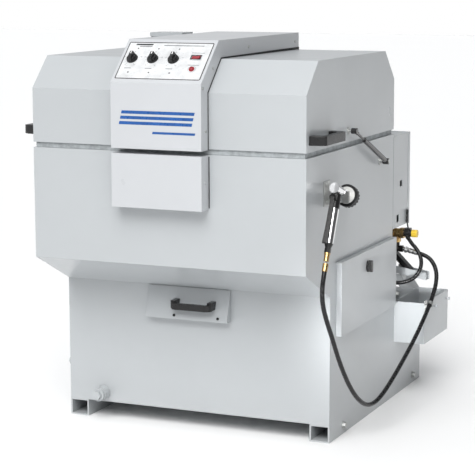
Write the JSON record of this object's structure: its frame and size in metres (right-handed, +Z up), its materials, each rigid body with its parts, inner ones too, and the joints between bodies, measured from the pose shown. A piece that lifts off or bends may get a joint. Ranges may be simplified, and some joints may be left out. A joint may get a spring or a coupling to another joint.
{
  "type": "parts washer",
  "caption": "Top-loading spray parts washer: cabinet with sump, hinged lid with control console, turntable, debris drawer, oil skimmer and a hand spray gun.",
  "frame": {"origin": "on the floor under the middle of the bounding box, hoses left out", "axes": "+Z up, +X to the operator's right, the front with the console and drawer faces -Y"},
  "size_m": [1.0847, 1.213, 1.23],
  "materials": {
    "grey_paint": "glossy powder coat",
    "grey_casting": "satin paint",
    "bare_steel": "brushed",
    "zinc_steel": "zinc plated",
    "chrome": "polished",
    "brass": "satin",
    "gasket_rubber": "matte",
    "black_rubber": "matte",
    "hose_rubber": "satin",
    "black_plastic": "matte",
    "black_steel": "semi-gloss",
    "white_plastic": "gloss",
    "panel_white": "satin",
    "red_lens": "gloss",
    "yellow_plastic": "gloss"
  },
  "bodies": {
    "cabinet": {"cabinet_shell": "grey_paint", "chamber_pan": "bare_steel", "skids": "grey_paint", "frame_bolts": "zinc_steel", "lid_gasket": "gasket_rubber", "front_box": "grey_paint", "rear_box": "grey_paint", "rear_box_door": "grey_paint", "tub_hinges": "zinc_steel", "drain_fittings": "grey_paint", "turntable_bearing": "bare_steel", "gearmotor": "grey_casting", "spray_manifold": "bare_steel", "pump_unit": "grey_casting", "heater": "bare_steel", "skimmer_motor": "black_plastic", "skimmer_trough": "grey_paint", "oil_box": "grey_paint", "gun_bracket": "zinc_steel", "gun_body": "chrome", "gun_grip": "black_plastic", "gun_face": "white_plastic", "gun_bumper": "black_rubber", "hose_ferrules": "brass", "valve_body": "brass", "valve_coil": "black_plastic", "coil_cable": "hose_rubber", "gun_hose": "hose_rubber", "feed_hose": "hose_rubber", "hose_clip": "zinc_steel", "strut_brackets": "zinc_steel"},
    "lid": {"lid_shell": "grey_paint", "lid_hinges": "zinc_steel", "console_housing": "grey_paint", "console_trim": "black_rubber", "raceway": "grey_paint", "control_panel": "panel_white", "pilot_light": "red_lens", "vent_hood": "grey_paint", "lid_handles": "black_plastic", "lid_fasteners": "zinc_steel"},
    "debris_drawer": {"drawer_front": "grey_paint", "drawer_tray": "bare_steel", "drawer_handle": "black_plastic"},
    "turntable": {"turntable": "bare_steel"},
    "drive_wheel": {"drive_wheel": "black_rubber"},
    "skimmer_disc": {"skimmer_disc": "black_plastic"},
    "gun_lever": {"gun_lever": "black_plastic"},
    "valve_knob": {"valve_knob": "yellow_plastic"},
    "drain_plug": {"drain_plug": "grey_paint"},
    "strut_cylinder_right": {"strut_cylinder_right": "black_steel"},
    "strut_cylinder_left": {"strut_cylinder_left": "black_steel"},
    "strut_rod_right": {"strut_rod_right": "black_steel"},
    "strut_rod_left": {"strut_rod_left": "black_steel"},
    "timer_knob_left": {"timer_knob_left": "black_plastic"},
    "timer_knob_middle": {"timer_knob_middle": "black_plastic"},
    "timer_knob_right": {"timer_knob_right": "black_plastic"},
    "power_rocker": {"power_rocker": "red_lens"},
    "access_cover": {"access_cover": "grey_paint"},
    "access_latch": {"access_latch": "black_plastic"}
  },
  "joints": [
    {"name": "lid_hinge", "type": "hinge", "parent": "cabinet", "child": "lid", "pos_m": [-0.0425, 0.2555, 0.906], "axis": [-1, 0, 0], "range_deg": [0, 60], "stiffness_Nm_per_rad": 95, "springref_deg": 100.27},
    {"name": "strut_right_pivot", "type": "hinge", "parent": "cabinet", "child": "strut_cylinder_right", "pos_m": [0.4295, 0.1015, 0.824], "axis": [-1, 0, 0], "range_deg": [0, 63.4]},
    {"name": "strut_right_rod_slide", "type": "slide", "parent": "strut_cylinder_right", "child": "strut_rod_right", "axis": [0, -0.9253, 0.3792], "range_m": [0, 0.174]},
    {"name": "strut_left_pivot", "type": "hinge", "parent": "cabinet", "child": "strut_cylinder_left", "pos_m": [-0.5145, 0.1015, 0.824], "axis": [-1, 0, 0], "range_deg": [0, 63.4]},
    {"name": "strut_left_rod_slide", "type": "slide", "parent": "strut_cylinder_left", "child": "strut_rod_left", "axis": [0, -0.9253, 0.3792], "range_m": [0, 0.174]},
    {"name": "turntable_spin", "type": "hinge", "parent": "cabinet", "child": "turntable", "pos_m": [-0.0425, -0.1565, 0.615], "axis": [0, 0, 1], "continuous": true},
    {"name": "drive_wheel_spin", "type": "hinge", "parent": "cabinet", "child": "drive_wheel", "pos_m": [-0.0425, 0.1135, 0.575], "axis": [0, 1, 0], "continuous": true},
    {"name": "skimmer_disc_spin", "type": "hinge", "parent": "cabinet", "child": "skimmer_disc", "pos_m": [0.2575, 0.4435, 0.385], "axis": [0, 1, 0], "continuous": true},
    {"name": "debris_drawer_slide", "type": "slide", "parent": "cabinet", "child": "debris_drawer", "axis": [0, -1, 0], "range_m": [0, 0.26]},
    {"name": "access_cover_pull", "type": "slide", "parent": "cabinet", "child": "access_cover", "axis": [1, 0, 0], "range_m": [0, 0.08]},
    {"name": "access_latch_turn", "type": "hinge", "parent": "access_cover", "child": "access_latch", "pos_m": [0.4275, -0.0565, 0.506], "axis": [1, 0, 0], "range_deg": [0, 90]},
    {"name": "timer_left_turn", "type": "hinge", "parent": "lid", "child": "timer_knob_left", "pos_m": [-0.1575, -0.53755, 1.17385], "axis": [0, 0.6879, -0.7258], "range_deg": [0, 300]},
    {"name": "timer_middle_turn", "type": "hinge", "parent": "lid", "child": "timer_knob_middle", "pos_m": [-0.0895, -0.53755, 1.17385], "axis": [0, 0.6879, -0.7258], "range_deg": [0, 300]},
    {"name": "timer_right_turn", "type": "hinge", "parent": "lid", "child": "timer_knob_right", "pos_m": [-0.0215, -0.53755, 1.17385], "axis": [0, 0.6879, -0.7258], "range_deg": [0, 300]},
    {"name": "power_rocker_tilt", "type": "hinge", "parent": "lid", "child": "power_rocker", "pos_m": [0.0505, -0.53174, 1.17935], "axis": [0, 0.7258, 0.6879], "range_deg": [0, 14]},
    {"name": "spray_lever_squeeze", "type": "hinge", "parent": "cabinet", "child": "gun_lever", "pos_m": [0.4525, -0.45304, 0.77835], "axis": [1, 0, 0], "range_deg": [0, 5], "stiffness_Nm_per_rad": 4},
    {"name": "valve_knob_turn", "type": "hinge", "parent": "cabinet", "child": "valve_knob", "pos_m": [0.4375, 0.3935, 0.545], "axis": [1, 0, 0], "range_deg": [0, 270]},
    {"name": "drain_plug_turn", "type": "hinge", "parent": "cabinet", "child": "drain_plug", "pos_m": [-0.3705, -0.3865, 0.085], "axis": [0, -1, 0], "continuous": true}
  ],
  "couplings": [
    {"joint": "drive_wheel_spin", "follows": "turntable_spin", "ratio": -6.801},
    {"joint": "strut_right_pivot", "follows": "lid_hinge", "ratio": 1.055},
    {"joint": "strut_right_rod_slide", "follows": "lid_hinge", "m_per_rad": 0.1652},
    {"joint": "strut_left_pivot", "follows": "lid_hinge", "ratio": 1.055},
    {"joint": "strut_left_rod_slide", "follows": "lid_hinge", "m_per_rad": 0.1652}
  ]
}
